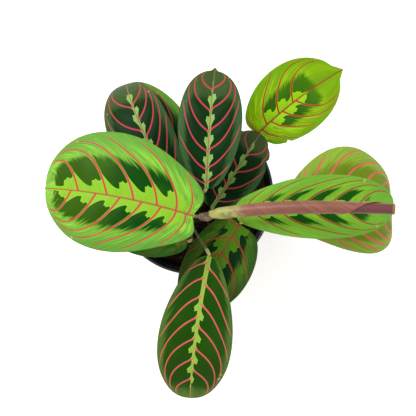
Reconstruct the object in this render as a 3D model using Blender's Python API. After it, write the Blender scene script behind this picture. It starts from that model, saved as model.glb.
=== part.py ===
"""A red-veined prayer plant (maranta) in a round nursery pot.

Metres, +Z up. The origin is the centre of the pot's underside.
The pot and its soil are turned solids. Each leaf is a stalk and a thin blade: the blade
bends along its midrib, folds at the midrib and curls down at its margins. The newest leaf
is still rolled up, on a brown node at the top of the main stem.
"""

import math

import bpy
import numpy as np
from mathutils import Vector, geometry

MM = 0.001

# Pot: a tapered wall with a wider band below its rim
RIM_RADIUS = 60 * MM
POT_HEIGHT = 105 * MM
FOOT_RADIUS = 42 * MM
FOOT_BEVEL = 1.5 * MM
WALL = 1.5 * MM
RIM_BAND = 14 * MM
BAND_STEP = 2.5 * MM
BAND_BEVEL = 0.5 * MM
LIP_BEVEL = 0.9 * MM
FLOOR = 2 * MM
DRAIN_HOLES = 6
DRAIN_RADIUS = 4 * MM
DRAIN_RING = 28 * MM

# Soil: flat in the middle, with a low ring-shaped hump and a bevelled edge
SOIL_TOP = 92 * MM
SOIL_FLAT = 30 * MM
SOIL_HUMP = 1.5 * MM
SOIL_BEVEL = 3 * MM
SOIL_BEVEL_DROP = 1 * MM

# Gap between pieces that rest on one another
SEAT = 0.3 * MM

# Blades: thickness, how far up the base lobes reach, and the taper of the tip
BLADE = 0.5 * MM
LOBE_REACH = 0.06
TIP_START = 0.8
TIP_SLOPE = 2.5
TIP_BLEND = 4
MIDRIB_END = 1.1

# Stalks: radius at the soil and under the blade, first straight rise, and gaps at the blade
STALK_RADIUS = 1.2 * MM
STALK_TIP = 0.8 * MM
STALK_RISE = 1 * MM
STALK_GAP = 0.9 * MM
NODE_STALK_GAP = 0.9 * MM

# Main stem, its brown node, and the rolled leaf on it. The roll is an arc from its start to its
# end, drawn towards the bow, with its first guide point a share ROLL_LEAD of the way there.
STEM = (9 * MM, -16 * MM)
STEM_RADIUS = 2.4 * MM
NODE_CENTRE = Vector((9.5, -16, 171)) * MM
NODE_HALF_LENGTH = 4.5 * MM
NODE_RADIUS = 4 * MM
NODE_ROUNDING = 0.45
ROLL_START = Vector((14.5, -14.5, 171)) * MM
ROLL_BOW = Vector((65, -8, 187)) * MM
ROLL_END = Vector((127, -11, 196)) * MM
ROLL_LEAD = 0.6
ROLL_RADIUS = 4.3 * MM
ROLL_NECK = 0.55
ROLL_NECK_END = 0.25
ROLL_TAPER = 0.2
ROLL_TAPER_START = 0.6

# Fineness of the shapes
POT_SIDES = 72
SOIL_SIDES = 48
DRAIN_SIDES = 20
BLADE_ROWS = 14
BLADE_COLUMNS = 8
MIDRIB_STEPS = 200
STALK_POINTS = 14
STEM_POINTS = 9
ROLL_POINTS = 17
TUBE_FINENESS = 2
ROLL_FINENESS = 3
SHARP_EDGE = 40

# Each leaf, in millimetres and degrees. base: where blade meets stalk. heading: the way the
# midrib leaves it, anticlockwise from +X. bend: its turn on the way to the tip. length and
# width: of the flat blade. widest: where along it the left and right halves are widest. slim:
# over 1 where a half's ends are slimmer than an oval's, left and right. lean: how much wider the
# left half is. pitch: the midrib's slope at base and tip. droop: how late it changes. fold and
# curl: the slope of each half at the midrib, and its change towards the margin. lobe: how far
# the base reaches back beside the stalk. point: the tip's length. look: its colour. root: where
# the stalk leaves the soil. rise and elbow: the stalk's two guide points.
LEAVES = {
    "left": dict(
        base=(1, -15.5, 171.5), heading=162, bend=15, length=102, width=79, lean=-0.07,
        widest=(0.55, 0.55), pitch=(12, -26), droop=1.4, fold=6, curl=-22, lobe=0.08,
        point=0.01, look="bright"),
    "upper_left": dict(
        base=(-12, 0, 140), heading=120, bend=-12, length=98, width=45, lean=0.1,
        pitch=(18, -70), droop=2.0, fold=2, curl=-24, lobe=0.03, point=0.02, look="dark",
        root=(-2, -11), rise=(-4, -9, 120), elbow=(-10, -3, 132)),
    "back_left": dict(
        base=(0, 6, 125), heading=114, bend=26, length=95, width=40, lean=-0.06,
        pitch=(18, -50), droop=1.6, fold=4, curl=-20, lobe=0.03, point=0.02, look="dark",
        root=(1, -5), rise=(1, -3, 108), elbow=(1, 2, 117)),
    "top": dict(
        base=(10, 3, 160), heading=88, bend=-4, length=82, width=43, widest=(0.55, 0.55),
        pitch=(12, -28), droop=1.4, fold=8, curl=-20, lobe=0.02, point=0.04, look="dark",
        root=(5, -9), rise=(3, -6, 135), elbow=(8, 0, 152)),
    "right_dark": dict(
        base=(14, -10, 132), heading=57, bend=0, length=66, width=37,
        pitch=(15, -40), droop=1.6, fold=8, curl=-24, lobe=0.03, point=0.02, look="dark",
        root=(14, -10), rise=(15, -9, 115), elbow=(14, -11, 124)),
    "upper_right": dict(
        base=(47, 44, 112), heading=44, bend=-13, length=73, width=53, lean=0.06,
        pitch=(15, -8), droop=1.2, fold=8, curl=-6, lobe=0.04, point=0.09, look="lime",
        root=(20, -8), rise=(20, -4, 108), elbow=(38, 34, 110)),
    "far_right": dict(
        base=(70, -18, 125), heading=9, bend=-6, length=98, width=80, widest=(0.45, 0.64),
        slim=(1.5, 1), lean=0.18, pitch=(18, -80), droop=1.5, fold=4, curl=-20, lobe=0.04,
        point=0.02, look="olive", root=(20, -19), rise=(22, -17, 108), elbow=(45, -22, 118)),
    "right": dict(
        base=(30, -13, 160), heading=5, bend=-6, length=111, width=43, widest=(0.56, 0.56),
        pitch=(12, -32), droop=1.6, fold=14, curl=-26, lobe=0.03, point=0.02,
        look="bright", root=(16, -15), rise=(16, -17, 135), elbow=(23, -16, 153)),
    "bottom": dict(
        base=(12, -44, 140), heading=-102, bend=9, length=113, width=54, widest=(0.59, 0.59),
        pitch=(0, -35), droop=1.3, fold=6, curl=-26, lobe=0.02, point=0.01, look="dark",
        root=(6, -20), rise=(-10, -16, 148), elbow=(11, -37, 138)),
    "lower_right": dict(
        base=(34, -22, 125), heading=-125, bend=13, length=79, width=50, widest=(0.44, 0.44),
        lean=0.12, pitch=(5, -40), droop=1.3, fold=5, curl=-24, lobe=0.03, point=0.02,
        look="dark", root=(21, -13), rise=(25, -10, 118), elbow=(39, -14, 125)),
    "lower_left": dict(
        base=(-4, -34, 130), heading=175, bend=0, length=54, width=27,
        pitch=(10, -30), droop=1.3, fold=6, curl=-20, lobe=0.03, point=0.02,
        look="bright", root=(-5, -14), rise=(-5, -20, 120), elbow=(4, -34, 127)),
}

COLOURS = {
    "bright": (0.15, 0.42, 0.04),
    "dark": (0.01, 0.05, 0.01),
    "lime": (0.22, 0.5, 0.01),
    "olive": (0.2, 0.28, 0.02),
    "stalk": (0.1, 0.2, 0.04),
    "stem": (0.16, 0.18, 0.06),
    "node": (0.16, 0.08, 0.05),
    "rolled": (0.28, 0.1, 0.06),
    "pot": (0.012, 0.012, 0.013),
    "soil": (0.02, 0.015, 0.012),
}
ROUGHNESS = {"pot": 0.35, "soil": 0.95}


def clear_scene():
    for item in list(bpy.data.objects):
        bpy.data.objects.remove(item, do_unlink=True)


def material(name):
    """The Principled material of one look, made once."""
    if name in bpy.data.materials:
        return bpy.data.materials[name]
    made = bpy.data.materials.new(name)
    made.use_nodes = True
    shader = made.node_tree.nodes["Principled BSDF"]
    shader.inputs["Base Color"].default_value = (*COLOURS[name], 1)
    shader.inputs["Roughness"].default_value = ROUGHNESS.get(name, 0.45)
    shader.inputs["Metallic"].default_value = 0
    return made


def add_object(name, data, look):
    piece = bpy.data.objects.new(name, data)
    bpy.context.scene.collection.objects.link(piece)
    data.materials.append(material(look))
    return piece


def add_mesh(name, points, faces, look):
    mesh = bpy.data.meshes.new(name)
    mesh.from_pydata([tuple(map(float, point)) for point in points], [], faces)
    mesh.shade_smooth()
    mesh.set_sharp_from_angle(angle=math.radians(SHARP_EDGE))
    return add_object(name, mesh, look)


def turned(name, profile, segments, look):
    """Turn a profile of (radius, height) about Z. Its first and last points lie on the axis."""
    points = [(0, 0, profile[0][1])]
    for radius, height in profile[1:-1]:
        for step in range(segments):
            angle = 2 * math.pi * step / segments
            points.append((radius * math.cos(angle), radius * math.sin(angle), height))
    points.append((0, 0, profile[-1][1]))
    top = len(points) - 1
    faces = []
    for step in range(segments):
        after = (step + 1) % segments
        faces.append((0, 1 + after, 1 + step))
        for ring in range(len(profile) - 3):
            low = 1 + ring * segments
            high = low + segments
            faces.append((low + step, low + after, high + after, high + step))
        last = 1 + (len(profile) - 3) * segments
        faces.append((last + step, last + after, top))
    return add_mesh(name, points, faces, look)


def wall_radius(height):
    """The outside of the tapered wall, below the rim band."""
    top_radius = RIM_RADIUS - BAND_STEP
    return FOOT_RADIUS + (top_radius - FOOT_RADIUS) * height / POT_HEIGHT


def inner_radius(height):
    return wall_radius(height) - WALL


def build_pot():
    band = POT_HEIGHT - RIM_BAND
    profile = [
        (0, 0),
        (FOOT_RADIUS - FOOT_BEVEL, 0),
        (FOOT_RADIUS, FOOT_BEVEL),
        (wall_radius(band), band),
        (RIM_RADIUS - BAND_BEVEL, band + BAND_BEVEL),
        (RIM_RADIUS, POT_HEIGHT - LIP_BEVEL),
        (RIM_RADIUS - LIP_BEVEL, POT_HEIGHT),
        (inner_radius(POT_HEIGHT) + LIP_BEVEL, POT_HEIGHT),
        (inner_radius(POT_HEIGHT), POT_HEIGHT - LIP_BEVEL),
        (inner_radius(FLOOR), FLOOR),
        (0, FLOOR),
    ]
    pot = turned("pot", profile, POT_SIDES, "pot")
    for step in range(DRAIN_HOLES):
        angle = 2 * math.pi * step / DRAIN_HOLES
        bpy.ops.mesh.primitive_cylinder_add(
            vertices=DRAIN_SIDES, radius=DRAIN_RADIUS, depth=4 * FLOOR,
            location=(DRAIN_RING * math.cos(angle), DRAIN_RING * math.sin(angle), FLOOR / 2))
        cutter = bpy.context.object
        cutter.name = f"drain_cutter_{step + 1}"
        cutter.hide_render = True
        cutter.display_type = "WIRE"
        cut = pot.modifiers.new(cutter.name, "BOOLEAN")
        cut.operation = "DIFFERENCE"
        cut.solver = "EXACT"
        cut.object = cutter


def build_soil():
    bottom = FLOOR + SEAT
    edge = inner_radius(SOIL_TOP) - SEAT
    profile = [
        (0, bottom),
        (inner_radius(bottom) - SEAT, bottom),
        (edge, SOIL_TOP - SOIL_BEVEL_DROP),
        (edge - SOIL_BEVEL, SOIL_TOP),
        ((edge + SOIL_FLAT) / 2, SOIL_TOP + SOIL_HUMP),
        (SOIL_FLAT, SOIL_TOP),
        (0, SOIL_TOP),
    ]
    turned("soil", profile, SOIL_SIDES, "soil")


def ease(start, end, value):
    share = np.clip((value - start) / (end - start), 0, 1)
    return share * share * (3 - 2 * share)


def blade_points(spec, along, across):
    """Points of a blade: along is 0 at its base and 1 at its tip, across -1 right to 1 left."""
    side = np.sign(across)
    out = np.abs(across)
    length = spec["length"]
    half_width = spec["width"] / 2

    # The flat shape: distance along the midrib, and out from it. An oval, with a drawn-out tip.
    end = 1 + spec["point"]
    along = along * end
    widest = np.where(side > 0, *spec.get("widest", (0.5, 0.5)))
    slim = np.where(side > 0, *spec.get("slim", (1, 1)))
    share = np.clip(along, 0, 1) ** (math.log(0.5) / np.log(widest))
    oval = (4 * share * (1 - share)) ** (slim / 2)
    tip = TIP_SLOPE * (end - along) * ease(TIP_START, 1, along)
    profile = (oval ** TIP_BLEND + tip ** TIP_BLEND) ** (1 / TIP_BLEND)
    lean = 1 + spec.get("lean", 0) * side
    outward = half_width * profile * lean * out
    lobe = along / LOBE_REACH * np.exp(1 - along / LOBE_REACH)
    reach = along - spec["lobe"] * out * lobe

    # The midrib, by adding up short straight steps
    steps = np.linspace(0, MIDRIB_END, MIDRIB_STEPS)
    first, last = spec["pitch"]
    pitch = np.radians(first + (last - first) * np.clip(steps, 0, 1) ** spec["droop"])
    turn = np.radians(spec["heading"] + spec["bend"] * steps)
    ways = np.stack([np.cos(turn) * np.cos(pitch), np.sin(turn) * np.cos(pitch),
                     np.sin(pitch)], -1)
    moves = (ways[1:] + ways[:-1]) / 2 * steps[1] * length
    midrib = np.vstack([np.zeros(3), np.cumsum(moves, 0)]) + np.array(spec["base"])

    def read(values):
        return np.stack([np.interp(reach, steps, values[:, axis]) for axis in range(3)], -1)

    way = read(ways)
    way /= np.linalg.norm(way, axis=-1, keepdims=True)
    centre = read(midrib) + np.minimum(reach, 0)[..., None] * length * way
    turn = np.radians(spec["heading"] + spec["bend"] * np.clip(reach, 0, None))
    sideways = np.stack([-np.sin(turn), np.cos(turn), 0 * turn], -1)
    upward = np.cross(way, sideways)

    # Each half leaves the midrib at the fold's slope and curls as an arc
    fold = math.radians(spec["fold"])
    curve = math.radians(spec["curl"]) / half_width
    flat = (np.sin(fold + curve * outward) - math.sin(fold)) / curve * side
    lift = (math.cos(fold) - np.cos(fold + curve * outward)) / curve
    return (centre + sideways * flat[..., None] + upward * lift[..., None]) * MM


def build_blade(name, spec):
    angles = np.linspace(0, math.pi, BLADE_ROWS + 1)[1:-1]
    rows = (1 - np.cos(angles)) / 2
    columns = np.linspace(-1, 1, BLADE_COLUMNS + 1)
    along, across = np.meshgrid(rows, columns, indexing="ij")
    grid = blade_points(spec, along, across).reshape(-1, 3)
    ends = blade_points(spec, np.array([0.0, 1.0]), np.zeros(2))
    points = np.vstack([grid, ends])
    base = len(grid)
    tip = base + 1
    width = BLADE_COLUMNS + 1
    last = (len(rows) - 1) * width
    faces = []
    for column in range(BLADE_COLUMNS):
        faces.append((base, column, column + 1))
        faces.append((last + column, tip, last + column + 1))
        for row in range(len(rows) - 1):
            start = row * width + column
            faces.append((start, start + width, start + width + 1, start + 1))
    blade = add_mesh(f"blade_{name}", points, faces, spec["look"])
    solid = blade.modifiers.new("thickness", "SOLIDIFY")
    solid.thickness = BLADE
    solid.offset = 1
    return blade


def tube(name, points, radii, look, fineness=TUBE_FINENESS):
    """A round stalk through points, with flat ends and its own radius at each point."""
    curve = bpy.data.curves.new(name, "CURVE")
    curve.dimensions = "3D"
    curve.bevel_depth = 1
    curve.bevel_resolution = fineness
    curve.use_fill_caps = True
    spline = curve.splines.new("POLY")
    spline.points.add(len(points) - 1)
    for knot, place, radius in zip(spline.points, points, radii):
        knot.co = (*place, 1)
        knot.radius = radius
    return add_object(name, curve, look)


def build_stalk(name, spec):
    """From the soil, by way of its two guide points, to just short of the blade."""
    base = Vector(spec["base"]) * MM
    root = Vector((spec["root"][0] * MM, spec["root"][1] * MM, SOIL_TOP + SEAT))
    rise = Vector(spec["rise"]) * MM
    elbow = Vector(spec["elbow"]) * MM
    end = base - (base - elbow).normalized() * STALK_GAP
    start = root + Vector((0, 0, STALK_RISE))
    points = [root]
    points += geometry.interpolate_bezier(start, rise, elbow, end, STALK_POINTS)
    radii = np.linspace(STALK_RADIUS, STALK_TIP, len(points))
    tube(f"stalk_{name}", points, radii, "stalk")


def build_node_stalk(name, spec):
    """The short stalk from the node's left end to the blade that it carries."""
    base = Vector(spec["base"]) * MM
    start = NODE_CENTRE - Vector((NODE_HALF_LENGTH + 2 * SEAT, 0, 0))
    end = base.lerp(start, NODE_STALK_GAP / (start - base).length)
    points = [start, start.lerp(end, 0.5), end]
    tube(f"stalk_{name}", points, [STALK_RADIUS, STALK_RADIUS, STALK_TIP], "stalk")


def build_stem():
    bottom = Vector((*STEM, SOIL_TOP + SEAT))
    top = Vector((*STEM, NODE_CENTRE.z - NODE_RADIUS - SEAT))
    points = [bottom.lerp(top, share) for share in np.linspace(0, 1, STEM_POINTS)]
    tube("main_stem", points, [STEM_RADIUS] * STEM_POINTS, "stem")


def build_node():
    """A knobbly lump, longer along X, flat-sided where the leaf and the roll leave it."""
    shares = np.linspace(-1, 1, STEM_POINTS)
    points = [NODE_CENTRE + Vector((NODE_HALF_LENGTH * share, 0, 0)) for share in shares]
    radii = NODE_RADIUS * (1 - NODE_ROUNDING * shares * shares)
    tube("stem_node", points, radii, "node")


def build_rolled_leaf():
    start = ROLL_START + Vector((SEAT, 0, 0))
    shares = np.linspace(0, 1, ROLL_POINTS)
    points = geometry.interpolate_bezier(
        start, start.lerp(ROLL_BOW, ROLL_LEAD), ROLL_BOW, ROLL_END, ROLL_POINTS)
    neck = ROLL_NECK + (1 - ROLL_NECK) * ease(0, ROLL_NECK_END, shares)
    taper = 1 - ROLL_TAPER * ease(ROLL_TAPER_START, 1, shares)
    tube("rolled_leaf", points, ROLL_RADIUS * neck * taper, "rolled", ROLL_FINENESS)


def main():
    clear_scene()
    build_pot()
    build_soil()
    build_stem()
    build_node()
    build_rolled_leaf()
    for name, spec in LEAVES.items():
        build_blade(name, spec)
        if "root" in spec:
            build_stalk(name, spec)
        else:
            build_node_stalk(name, spec)


main()
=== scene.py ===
import math
import random

import bmesh
import bpy
import numpy as np
from mathutils import Matrix, Vector, geometry, noise


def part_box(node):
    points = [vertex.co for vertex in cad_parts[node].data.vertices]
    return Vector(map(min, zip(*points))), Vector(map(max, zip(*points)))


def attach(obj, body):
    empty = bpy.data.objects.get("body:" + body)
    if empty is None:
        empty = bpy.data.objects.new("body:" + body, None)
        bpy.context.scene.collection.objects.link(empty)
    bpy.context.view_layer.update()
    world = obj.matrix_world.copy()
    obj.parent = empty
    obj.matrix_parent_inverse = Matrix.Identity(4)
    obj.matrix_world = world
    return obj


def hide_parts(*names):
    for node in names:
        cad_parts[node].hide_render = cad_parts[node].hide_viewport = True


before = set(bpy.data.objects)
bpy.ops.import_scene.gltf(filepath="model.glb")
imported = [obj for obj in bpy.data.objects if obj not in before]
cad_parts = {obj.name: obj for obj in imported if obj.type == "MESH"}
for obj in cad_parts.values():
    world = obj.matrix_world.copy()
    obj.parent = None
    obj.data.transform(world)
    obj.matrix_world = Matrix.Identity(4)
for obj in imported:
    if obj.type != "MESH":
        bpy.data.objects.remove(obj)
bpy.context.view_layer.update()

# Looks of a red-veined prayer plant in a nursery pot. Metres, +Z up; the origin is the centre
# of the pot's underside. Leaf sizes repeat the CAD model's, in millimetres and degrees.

MM = 0.001

# ---- sizes shared with the CAD
SEAT = 0.3 * MM  # the gap between pieces that rest on one another
POT_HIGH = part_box("pot")[1]
POT_HEIGHT = POT_HIGH[2]
RIM_RADIUS = POT_HIGH[0]
FOOT_RADIUS = 42 * MM
WALL = 1.5 * MM
RIM_BAND = 14 * MM
BAND_STEP = 2.5 * MM
DRAIN_HOLES = 6
DRAIN_RADIUS = 4 * MM
DRAIN_RING = 28 * MM
SOIL_LOW, SOIL_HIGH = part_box("soil")
SOIL_HUMP = 1.5 * MM
SOIL_TOP = SOIL_HIGH[2] - SOIL_HUMP
FLOOR = SOIL_LOW[2] - SEAT

BLADE = 0.4 * MM
STALK_RADIUS = 1.2 * MM
STALK_TIP = 0.8 * MM
STALK_GAP = 0.5 * MM
LOBE_REACH = 0.06
TIP_START = 0.8
TIP_SLOPE = 2.5
TIP_BLEND = 4
MIDRIB_END = 1.1
MIDRIB_STEPS = 200
CAD_ROWS = 14
CAD_COLUMNS = 8


def middle(node):
    low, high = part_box(node)
    return (Vector(low) + Vector(high)) / 2


def span(node):
    low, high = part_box(node)
    return Vector(high) - Vector(low)


STEM = middle("main_stem")
STEM_RADIUS = span("main_stem").x / 2
NODE_CENTRE = middle("stem_node")
NODE_HALF_LENGTH = span("stem_node").x / 2
NODE_RADIUS = 3.1 * MM
ROLL_LOW, ROLL_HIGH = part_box("rolled_leaf")
ROLL_RADIUS = 4.3 * MM

# Each leaf's shape as in the CAD model, with what only shows here; its place comes from its CAD
# blade. left and right: the side veins of that half: how many, where along the midrib the first
# and the last start, and how far they run towards the tip. crowd: how they crowd near the base.
# spread: how much the pattern by the midrib is squeezed, left and right. nicks: dents in the
# margin, as (along, side, depth, width), left being +1. root, rise and elbow: the stalk's
# line, a root having only X and Y. What a leaf doesn't say is in PLAIN_LEAF.
PLAIN_LEAF = dict(
    bend=0, lean=0, widest=(0.5, 0.5), slim=(1, 1), lobe=0.03, point=0.02, crowd=1.2,
    spread=(1, 1), nicks=())
LEAVES = {
    "left": dict(
        heading=162, bend=15, length=102, width=79, lean=-0.07, widest=(0.55, 0.55),
        pitch=(12, -26), droop=1.4, fold=6, curl=-22, lobe=0.08, point=0.01,
        look="bright", crowd=1.4, spread=(1.3, 1), left=(7, 0.05, 0.8, 5.0),
        right=(6, 0.04, 0.75, 5.0)),
    "upper_left": dict(
        heading=120, bend=-12, length=98, width=45, lean=0.1, pitch=(18, -70), droop=2.0,
        fold=2, curl=-24, look="dark",
        left=(5, 0.05, 0.67, 4.0), right=(7, 0.03, 0.7, 4.2),
        root=(-2, -11), rise=(-4, -9, 120), elbow=(-10, -3, 132)),
    "back_left": dict(
        heading=114, bend=26, length=95, width=40, lean=-0.06, pitch=(18, -50), droop=1.6,
        fold=4, curl=-20, look="edge",
        left=(6, 0.04, 0.8, 4.5), right=(5, 0.06, 0.76, 4.5),
        root=(1, -5), rise=(1, -3, 108), elbow=(1, 2, 117)),
    "top": dict(
        heading=88, bend=-4, length=82, width=43, widest=(0.55, 0.55), pitch=(12, -28),
        droop=1.4, fold=8, curl=-20, lobe=0.02, point=0.04, look="dark",
        left=(6, 0.04, 0.78, 3.9), right=(6, 0.055, 0.8, 4.4),
        root=(5, -9), rise=(3, -6, 135), elbow=(8, 0, 152)),
    "right_dark": dict(
        heading=57, length=66, width=37, pitch=(15, -40), droop=1.6, fold=8, curl=-24,
        look="dark", left=(4, 0.13, 0.72, 4.2),
        right=(4, 0.1, 0.67, 4.2), nicks=((0.72, -1, 0.14, 0.04), (0.9, -1, 0.1, 0.03)),
        root=(14, -10), rise=(15, -9, 115), elbow=(14, -11, 124)),
    "upper_right": dict(
        heading=44, bend=-13, length=73, width=53, lean=0.06, pitch=(15, -8), droop=1.2,
        fold=8, curl=-6, lobe=0.04, point=0.09, look="lime",
        left=(4, 0.02, 0.44, 5.0), right=(4, 0.07, 0.47, 4.6),
        nicks=((0.06, -1, 0.25, 0.03), (0.21, -1, 0.09, 0.012)),
        root=(20, -8), rise=(20, -4, 108), elbow=(38, 34, 110)),
    "far_right": dict(
        heading=9, bend=-6, length=98, width=80, widest=(0.45, 0.64), slim=(1.5, 1), lean=0.18,
        pitch=(18, -80), droop=1.5, fold=4, curl=-20, lobe=0.04, look="olive",
        crowd=1.6, left=(6, 0.05, 0.68, 4.5), right=(8, 0.03, 0.86, 4.5),
        root=(20, -19), rise=(22, -17, 108), elbow=(45, -22, 118)),
    "right": dict(
        heading=5, bend=-6, length=111, width=43, widest=(0.56, 0.56), pitch=(12, -32),
        droop=1.6, fold=14, curl=-26, look="fresh",
        crowd=1.4, left=(6, 0.055, 0.72, 4.6), right=(5, 0.02, 0.63, 5.0),
        root=(16, -15), rise=(16, -17, 135), elbow=(23, -16, 153)),
    "bottom": dict(
        heading=-102, bend=9, length=113, width=54, widest=(0.59, 0.59), pitch=(0, -35),
        droop=1.3, fold=6, curl=-26, lobe=0.02, point=0.01, look="deep",
        left=(6, 0.075, 0.75, 4.0), right=(7, 0.045, 0.82, 3.3),
        root=(6, -20), rise=(-10, -16, 148), elbow=(11, -37, 138)),
    "lower_right": dict(
        heading=-125, bend=13, length=79, width=50, widest=(0.44, 0.44), lean=0.12,
        pitch=(5, -40), droop=1.3, fold=5, curl=-24, look="moss",
        left=(5, 0.0, 0.68, 4.5), right=(5, 0.02, 0.72, 4.5),
        root=(21, -13), rise=(25, -10, 118), elbow=(39, -14, 125)),
    "lower_left": dict(
        heading=175, length=54, width=27, pitch=(10, -30), droop=1.3, fold=6, curl=-20,
        look="plain", left=(5, 0.08, 0.8, 4.0), right=(5, 0.05, 0.75, 4.0),
        root=(-5, -14), rise=(-5, -20, 120), elbow=(4, -34, 127)),
}

# Colours as they look, 0 to 255. What a look doesn't say is in PLAIN_LOOK. far: the patches'
# colour near the tip. tip: the end of the blade, from tip_from on. band_mm: the pale band's reach
# from the midrib halfway along, lobe_mm what its lobes add, from the vein numbered lobe_from.
# lobe: where a lobe begins, peaks and ends, 0 at one vein and 1 at the next. wedge: where the
# pale wedge up the next vein begins, and its millimetres. band_end: where the band stops.
# patch_from: the first vein with a dark patch beyond it. patch_end: where patches end, 0 midrib
# to 1 margin. patch_part: the share of the way to the next vein that they fill. halo: how pale
# the ground beside the veins is. streaks: how far it is streaked with pale. vein_mm and rib_mm:
# half the width of a side vein and of the midrib.
PLAIN_LOOK = dict(tip_from=0.86, lobe_from=-3, band_end=0.9, patch_from=-3, patch_part=1.2)
LOOKS = {
    "bright": dict(
        margin=(114, 178, 64), ground=(136, 200, 60), blotch=(2, 74, 0), far=(54, 96, 0),
        tip=(150, 204, 88), tip_from=0.88, band=(150, 210, 50), vein=(214, 76, 74),
        midrib=(188, 88, 68), band_mm=5.4, lobe_mm=5.4, lobe=(-0.4, -0.2, 0.42),
        wedge=(0.52, 11), band_end=0.95, patch_from=1, patch_end=0.6, halo=0.7, streaks=0.6,
        vein_mm=0.66, rib_mm=0.95, slot="leaf_bright"),
    "fresh": dict(
        margin=(126, 194, 58), ground=(136, 200, 50), blotch=(14, 84, 0), far=(18, 84, 0),
        tip=(116, 184, 58), tip_from=0.74, band=(134, 202, 46), vein=(172, 72, 56),
        midrib=(160, 90, 64), band_mm=3.4, lobe_mm=1.6, lobe=(-0.4, -0.2, 0.4), wedge=(0.5, 5),
        patch_from=1, patch_end=0.56, patch_part=0.56, halo=0.7, streaks=0.25, vein_mm=0.54,
        rib_mm=0.85, slot="leaf_bright"),
    "plain": dict(
        margin=(62, 124, 34), ground=(70, 136, 36), blotch=(50, 112, 28), far=(50, 112, 28),
        tip=(80, 130, 50), band=(96, 150, 40), vein=(160, 70, 60), midrib=(150, 90, 60),
        band_mm=1.5, lobe_mm=1.5, lobe=(-0.4, -0.2, 0.4), wedge=(0.6, 2), patch_from=0,
        patch_end=0.5, halo=0.5, streaks=0.2, vein_mm=0.35, rib_mm=0.6, slot="leaf_bright"),
    "dark": dict(
        margin=(62, 102, 56), ground=(36, 82, 36), blotch=(0, 46, 8), far=(12, 52, 10),
        tip=(74, 94, 46), tip_from=0.68, band=(150, 192, 96), vein=(214, 68, 84),
        midrib=(156, 118, 84), lobe_from=0, band_mm=0.9, lobe_mm=2.6, lobe=(0.1, 0.46, 0.64),
        wedge=(0.86, 2.0), band_end=0.86, patch_end=0.76, halo=0.12, streaks=0.12, vein_mm=0.54,
        rib_mm=0.7, slot="leaf_dark"),
    "deep": dict(
        margin=(88, 126, 50), ground=(56, 104, 26), blotch=(28, 78, 0), far=(34, 78, 0),
        tip=(112, 138, 64), band=(158, 208, 74), vein=(240, 104, 100), midrib=(212, 166, 98),
        lobe_from=2, band_mm=1.2, lobe_mm=3.0, lobe=(0.22, 0.42, 0.62), wedge=(0.82, 3.0),
        patch_end=0.84, halo=0.3, streaks=0.12, vein_mm=0.6, rib_mm=0.6, slot="leaf_dark"),
    "moss": dict(
        margin=(58, 104, 30), ground=(84, 130, 24), blotch=(4, 52, 10), far=(4, 52, 10),
        tip=(90, 132, 34), tip_from=0.84, band=(92, 148, 24), vein=(184, 58, 54),
        midrib=(164, 72, 52), band_mm=3.4, lobe_mm=4.2, lobe=(-0.4, -0.2, 0.5), wedge=(0.62, 5),
        band_end=0.66, patch_end=0.56, halo=0.2, streaks=0.4, vein_mm=0.56, rib_mm=0.8,
        slot="leaf_dark"),
    "lime": dict(
        margin=(124, 180, 4), ground=(146, 194, 10), blotch=(48, 100, 0), far=(68, 122, 0),
        tip=(124, 172, 12), tip_from=0.64, band=(160, 222, 16), vein=(184, 52, 46),
        midrib=(164, 52, 40), band_mm=3.2, lobe_mm=3.6, lobe=(-0.4, -0.2, 0.56), wedge=(0.7, 3),
        band_end=0.62, patch_from=1, patch_end=0.52, halo=0.5, streaks=0.6, vein_mm=0.58,
        rib_mm=0.95, slot="leaf_lime"),
    "olive": dict(
        margin=(158, 194, 66), ground=(150, 182, 42), blotch=(118, 146, 22), far=(124, 150, 30),
        tip=(168, 198, 84), band=(156, 190, 44), vein=(246, 104, 104), midrib=(214, 120, 90),
        band_mm=2.0, lobe_mm=3.0, lobe=(-0.4, -0.2, 0.5), wedge=(0.6, 4), patch_end=0.74,
        halo=0.6, streaks=0.35, vein_mm=0.9, rib_mm=1.0, slot="leaf_olive"),
}
LOOKS["edge"] = dict(LOOKS["moss"], margin=(96, 158, 50), ground=(92, 142, 8), patch_end=0.76)

# All colours but the stage floor's are dimmed by this, since the light turns that floor white
COLOUR_GAIN = 0.72

# The share of a side vein that is straight at the base and what it gains by the tip, the power
# of the rest, how far the veins wander and how often, how far the pattern runs before the first
# vein and past the last, the least and most millimetres between veins, and how far from the tip
# and in how many halvings a vein's start is looked for
VEIN_STRAIGHT = 0.22
VEIN_LEAN = 0.6
VEIN_BEND = 3
VEIN_WANDER = 0.03
VEIN_WANDER_RATE = 13
FIRST_SPARE = 1.4
LAST_SPARE = 0.76
GAP_LIMITS_MM = (0.5, 60)
START_LIMIT = 1.6
HALVINGS = 24

# How far the blade swells between side veins and the gap from which it swells in full, the
# depth and half width of the groove over the midrib, and how far and often the margin waves
QUILT = 0.28 * MM
QUILT_GAP_MM = 9
GROOVE = QUILT * 1.2
GROOVE_MM = 1.6
WAVE = 0.5 * MM
WAVE_RATE = 17

# What a blade's face corners hold, and what makes each blade and half differ
FIELDS = ("phase", "gap", "out", "reach", "along", "seed")
SHAPE_SEED = 1.7
PATTERN_SEED = 3.7
RIGHT_HALF_SEED = 11.3

# A half blade's grid. Its rows start just past the base, which has no width.
BLADE_ROWS = 130
HALF_COLUMNS = 34
BASE_ANGLE = 0.02
SIDE_HINT = 1e-9  # keeps a half's midrib points on its own side


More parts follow.
